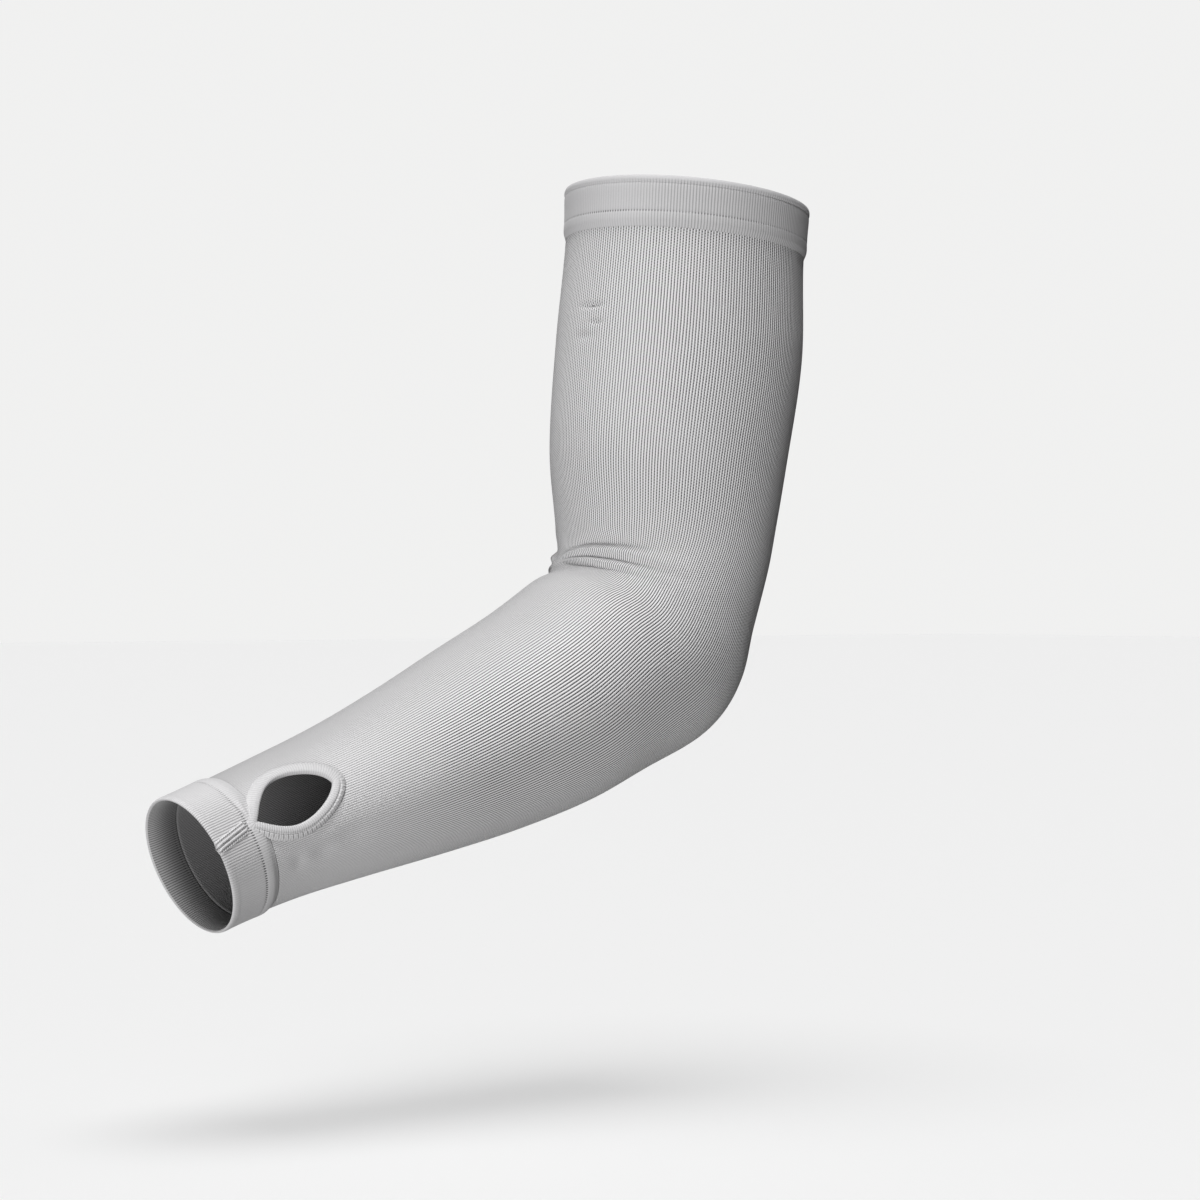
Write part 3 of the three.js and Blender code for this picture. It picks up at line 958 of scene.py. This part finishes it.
def binding():
    """The rolled edging of the thumb opening, with its overlock threads as ribs."""
    rows = (
        (1.2, -1.25),
        (0.3, -1.3),
        (-0.3, -0.9),
        (-0.5, 0.0),
        (-0.35, 0.7),
        (0.3, 1.15),
        (1.3, 1.3),
        (2.1, 1.25),
        (2.6, 1.15),
        (3.1, 1.05),
        (3.7, 0.8),
        (4.3, 0.45),
        (4.8, 0.18),
        (4.6, 0.05),
        (2.6, 0.05),
        (1.2, 0.05),
        (1.2, -0.6),
        (1.2, -1.25),
    )
    section = through(rows, BINDING_POINTS)
    last = len(section) - 1
    columns = THREADS * COLUMNS_A_THREAD
    turns = even_turns(columns)
    bm = flat_grid(columns, last)

    def place(u, v):
        push = section[int(round(v * last)), 0]
        return (u + THREAD_SLANT * push / THREADS, push * MM)

    def points(u, v):
        chosen = section[np.rint(v * last).astype(int)]
        turn = turns[np.rint(u * columns).astype(int)]
        push, off = chosen[:, 0], chosen[:, 1]
        ridge = np.cos((u * THREADS + THREAD_SLANT * push) * 2 * math.pi) * 0.5 + 0.5
        shown = np.where((off > THREADS_SHOWN_ABOVE) | (push < 0), 1.0, THREADS_LEFT)
        below = smoothstep(-np.sin(turn), *THREAD_BELOW)
        loops = np.cos(u * THREADS * math.pi + push) * hump(push - LOOPS[0], LOOPS[1])
        furrow = FURROW_DEPTH * hump(push - FURROW[0], FURROW[1])
        ribbed = THREAD_RIDGES[0] + THREAD_RIDGES[1] * below
        lift = shown * (ribbed * (ridge - 0.5) + below * (LOOP_HEIGHT * (1 + loops) - furrow))
        pushed = push + np.where(push > OUTER_EDGE, lift, 0) - np.where(push < 0, lift, 0)
        reach, side = thumb_edge(turn, pushed)
        along, angle = wrist_place(reach, side)
        return sleeve_points(along, angle, off + np.where(off > LIFTED_ABOVE, lift, 0))

    set_places(bm, place)
    wrap(bm, points)
    return finish_piece(bm, "thumb_opening_binding", (THREAD,), "thumb_binding")


def even_turns(count):
    """Turns at even lengths along the opening's edge, so that its threads are evenly spaced."""
    fine = np.linspace(0, 2 * math.pi, EDGE_SAMPLES)
    reach, side = thumb_edge(fine, EDGE_MARGIN)
    length = np.concatenate(([0], np.cumsum(np.hypot(np.diff(reach), np.diff(side)))))
    return np.interp(np.linspace(0, length[-1], count + 1), length, fine)


# Closing seam of the wrist band, whose rows have the side and the height off the band
SEAM_RIB = 1.3
SEAM_WIDER = 1.25
SEAM_POINTS = 61
SEAM_STEPS = 110
SEAM_PAST_RIM = 0.5
SEAM_CLEARANCE = 0.2
# How soon the seam closes at its two ends, and its loops of thread: number, height, place and spread.
# Only what stands this high above the band has loops and frayed ends.
SEAM_CLOSES = (30, 14)
SEAM_LOOPS = 15
LOOP_DEPTH = 0.16
LOOP_SIDE = 1.5
LOOP_SPREAD = 0.3
ABOVE_BAND = 0.3
FRAY = 0.35
FRAY_REACH = 0.05
FRAY_WAVES = 5.0
FRAY_START = 1.0


def cuff_seam():
    """Two flat folded edges that meet in a sharp groove, with the band's ribs running along them."""
    rows = (
        (-2.0, 0.05),
        (-1.9, 0.45),
        (-1.6, 0.6),
        (-1.3, 0.45),
        (-1.0, 0.8),
        (-0.65, 0.95),
        (-0.3, 0.8),
        (-0.12, 0.0),
        (0.12, 0.0),
        (0.3, 0.8),
        (0.65, 0.95),
        (1.0, 0.8),
        (1.3, 0.45),
        (1.6, 0.6),
        (1.9, 0.45),
        (2.0, 0.05),
        (0.0, -0.02),
        (-2.0, 0.05),
    )
    section = through(rows, SEAM_POINTS)
    last = len(section) - 1
    tip = THUMB_FROM_RIM - BINDING_WIDTH - SEAM_CLEARANCE
    bm = flat_grid(SEAM_STEPS, last)
    outside = band_rows(*CUFF_SIZES)[OUTSIDE_ROWS]
    face_reach = [row[0] for row in outside]
    face_off = [row[1] for row in outside]

    def place(u, v):
        return (section[int(round(v * last)), 0] / SEAM_RIB + 0.5, tip * u * MM)

    def points(u, v):
        chosen = section[np.rint(v * last).astype(int)]
        aside, up = chosen[:, 0], chosen[:, 1]
        reach = -SEAM_PAST_RIM + (tip + SEAM_PAST_RIM) * u
        middle = -SEAM_SWING * (1 - reach / tip)
        first, second = SEAM_CLOSES
        close = np.sqrt(np.clip(np.minimum(u * first, (1 - u) * second), 0, 1))
        base = np.interp(reach, face_reach, face_off)
        above = up > ABOVE_BAND
        edge = hump(np.abs(aside) - LOOP_SIDE, LOOP_SPREAD)
        loops = LOOP_DEPTH * np.cos(u * SEAM_LOOPS * 2 * math.pi) * edge * above
        frays = np.sin(aside * FRAY_WAVES + FRAY_START) * above
        frayed = FRAY * np.exp(-u / FRAY_REACH) * frays
        along, angle = wrist_place(reach - frayed, middle + SEAM_WIDER * aside * close)
        return sleeve_points(along, angle, base + (up + loops + frayed) * close)

    set_places(bm, place)
    wrap(bm, points)
    return finish_piece(bm, "cuff_seam_lips", (LIPS,), "cuff_seam")


# Pieces
UPPER_FABRICS = (BAND, BAND_LINING)
CUFF_FABRICS = (CUFF, CUFF_LINING)
TUBE = knit_tube()
UPPER = hem_band(
    "upper_hem_band", "upper_band", UPPER_FABRICS, UPPER_SIZES, UPPER_RIBS, UPPER_RIDGE, at_wrist=False
)
WRIST = hem_band(
    "wrist_hem_band", "wrist_band", CUFF_FABRICS, CUFF_SIZES, CUFF_RIBS, CUFF_RIDGE, at_wrist=True
)
BINDING = binding()
SEAM = cuff_seam()

# Floor, light and camera. The camera stands level, 1.3 m back from the origin, turned 38 degrees.
CAMERA_TURN = math.radians(-38)
CAMERA_BACK = 1.3
CAMERA_ASIDE = 0.0374
CAMERA_DROP = 0.1711
CAMERA_LENS = 90.7
CAMERA_FAR = 60
FLOOR_Z = -0.375
FLOOR_HALF = 12
PAPER = 0.9
PAPER_SEEN = 0.876
PAPER_ROUGHNESS = 0.9
PAPER_SPECULAR = 0.2
STUDIO_WHITE = (1, 1, 0.995, 1)
# The studio's glow: from where it comes, its width, its lowest and highest, and where it ends below
GLOW_SIDE = (-0.7, 0.7, 0.1)
GLOW_WIDTH = (-0.5, 0.9)
WORLD_SIDES = (0.0, 0.12)
WORLD_BELOW = 0.08
GLOW_ENDS = (-0.35, 0.1)


def matt(name, colour, roughness):
    material = bpy.data.materials.new(name)
    material.use_nodes = True
    shader = material.node_tree.nodes["Principled BSDF"]
    shader.inputs["Base Color"].default_value = (*colour, 1)
    shader.inputs["Roughness"].default_value = roughness
    shader.inputs["Specular IOR Level"].default_value = PAPER_SPECULAR
    return material


def add_floor():
    bm = bmesh.new()
    bmesh.ops.create_grid(bm, x_segments=1, y_segments=1, size=FLOOR_HALF)
    bmesh.ops.translate(bm, verts=bm.verts, vec=(0, 0, FLOOR_Z))
    mesh = bpy.data.meshes.new("floor")
    bm.to_mesh(mesh)
    bm.free()
    floor = bpy.data.objects.new("floor", mesh)
    bpy.context.collection.objects.link(floor)
    mesh.materials.append(matt("floor paper", (PAPER, PAPER, PAPER), PAPER_ROUGHNESS))
    floor.visible_diffuse = False
    return floor


def from_camera(aside, towards, up):
    """A direction in the scene from one given by the camera's right, its back and up."""
    sine, cosine = math.sin(CAMERA_TURN), math.cos(CAMERA_TURN)
    return Vector((aside * cosine + towards * sine, aside * sine - towards * cosine, up)).normalized()


def gathered(name, objects):
    collection = bpy.data.collections.new(name)
    for piece in objects:
        collection.objects.link(piece)
    return collection


def add_sun(name, direction, spread, power, lit, shadow=True):
    """A soft lamp from a direction, which lights only what it is given. Only the sleeve blocks it."""
    lamp = bpy.data.lights.new(name, "SUN")
    lamp.angle = math.radians(spread)
    lamp.energy = power
    lamp.use_shadow = shadow
    holder = bpy.data.objects.new(name, lamp)
    holder.rotation_euler = from_camera(*direction).to_track_quat("Z", "Y").to_euler()
    holder.light_linking.receiver_collection = lit
    holder.light_linking.blocker_collection = SLEEVE_LIT
    bpy.context.collection.objects.link(holder)


def add_world():
    """A studio that is brighter on the key's side, and plain paper where the camera sees it."""
    world = bpy.data.worlds.new("studio")
    world.use_nodes = True
    world.node_tree.nodes.clear()
    n = Nodes(world.node_tree)
    way = n.add("ShaderNodeTexCoord").outputs["Generated"]
    towards = n.add("ShaderNodeVectorMath", operation="DOT_PRODUCT")
    n.feed(towards.inputs[0], way)
    towards.inputs[1].default_value = from_camera(*GLOW_SIDE)
    side = n.ramp(towards.outputs["Value"], *GLOW_WIDTH, *WORLD_SIDES)
    up = n.add("ShaderNodeSeparateXYZ", in_0=way).outputs["Z"]
    above = n.ramp(up, *GLOW_ENDS)
    beneath = n.product(n.math("SUBTRACT", 1.0, above), WORLD_BELOW)
    glow = n.math("MULTIPLY_ADD", side, above, beneath)
    seen = n.add("ShaderNodeLightPath").outputs["Is Camera Ray"]
    unseen = n.product(glow, n.math("SUBTRACT", 1.0, seen))
    strength = n.math("ADD", unseen, n.product(seen, PAPER_SEEN))
    background = n.add("ShaderNodeBackground")
    background.inputs["Color"].default_value = STUDIO_WHITE
    n.feed(background.inputs["Strength"], strength)
    output = n.add("ShaderNodeOutputWorld")
    n.feed(output.inputs["Surface"], background.outputs["Background"])
    bpy.context.scene.world = world


def add_camera():
    data = bpy.data.cameras.new("camera")
    data.lens = CAMERA_LENS
    data.clip_end = CAMERA_FAR
    camera = bpy.data.objects.new("camera", data)
    sine, cosine = math.sin(CAMERA_TURN), math.cos(CAMERA_TURN)
    camera.location = (
        sine * CAMERA_BACK - CAMERA_ASIDE * cosine,
        -cosine * CAMERA_BACK - CAMERA_ASIDE * sine,
        -CAMERA_DROP,
    )
    camera.rotation_euler = (math.pi / 2, 0, CAMERA_TURN)
    bpy.context.collection.objects.link(camera)
    bpy.context.scene.camera = camera


FLOOR = add_floor()
SLEEVE_LIT = gathered("lit sleeve", (TUBE, UPPER, WRIST, BINDING, SEAM))
FLOOR_LIT = gathered("lit floor", (FLOOR,))
add_world()
add_sun("overhead", (0.0, 0.1, 1.0), 24, 3.5, SLEEVE_LIT)
add_sun("front left", (-0.27, 0.9, -0.3), 28, 2.75, SLEEVE_LIT)
add_sun("floor light", (0.0, 0.0, 1.0), 45, 1.0, FLOOR_LIT)
add_sun("floor fill", (0.0, 0.0, 1.0), 45, 1.98, FLOOR_LIT, False)
add_camera()
bpy.context.scene.view_settings.view_transform = "Standard"
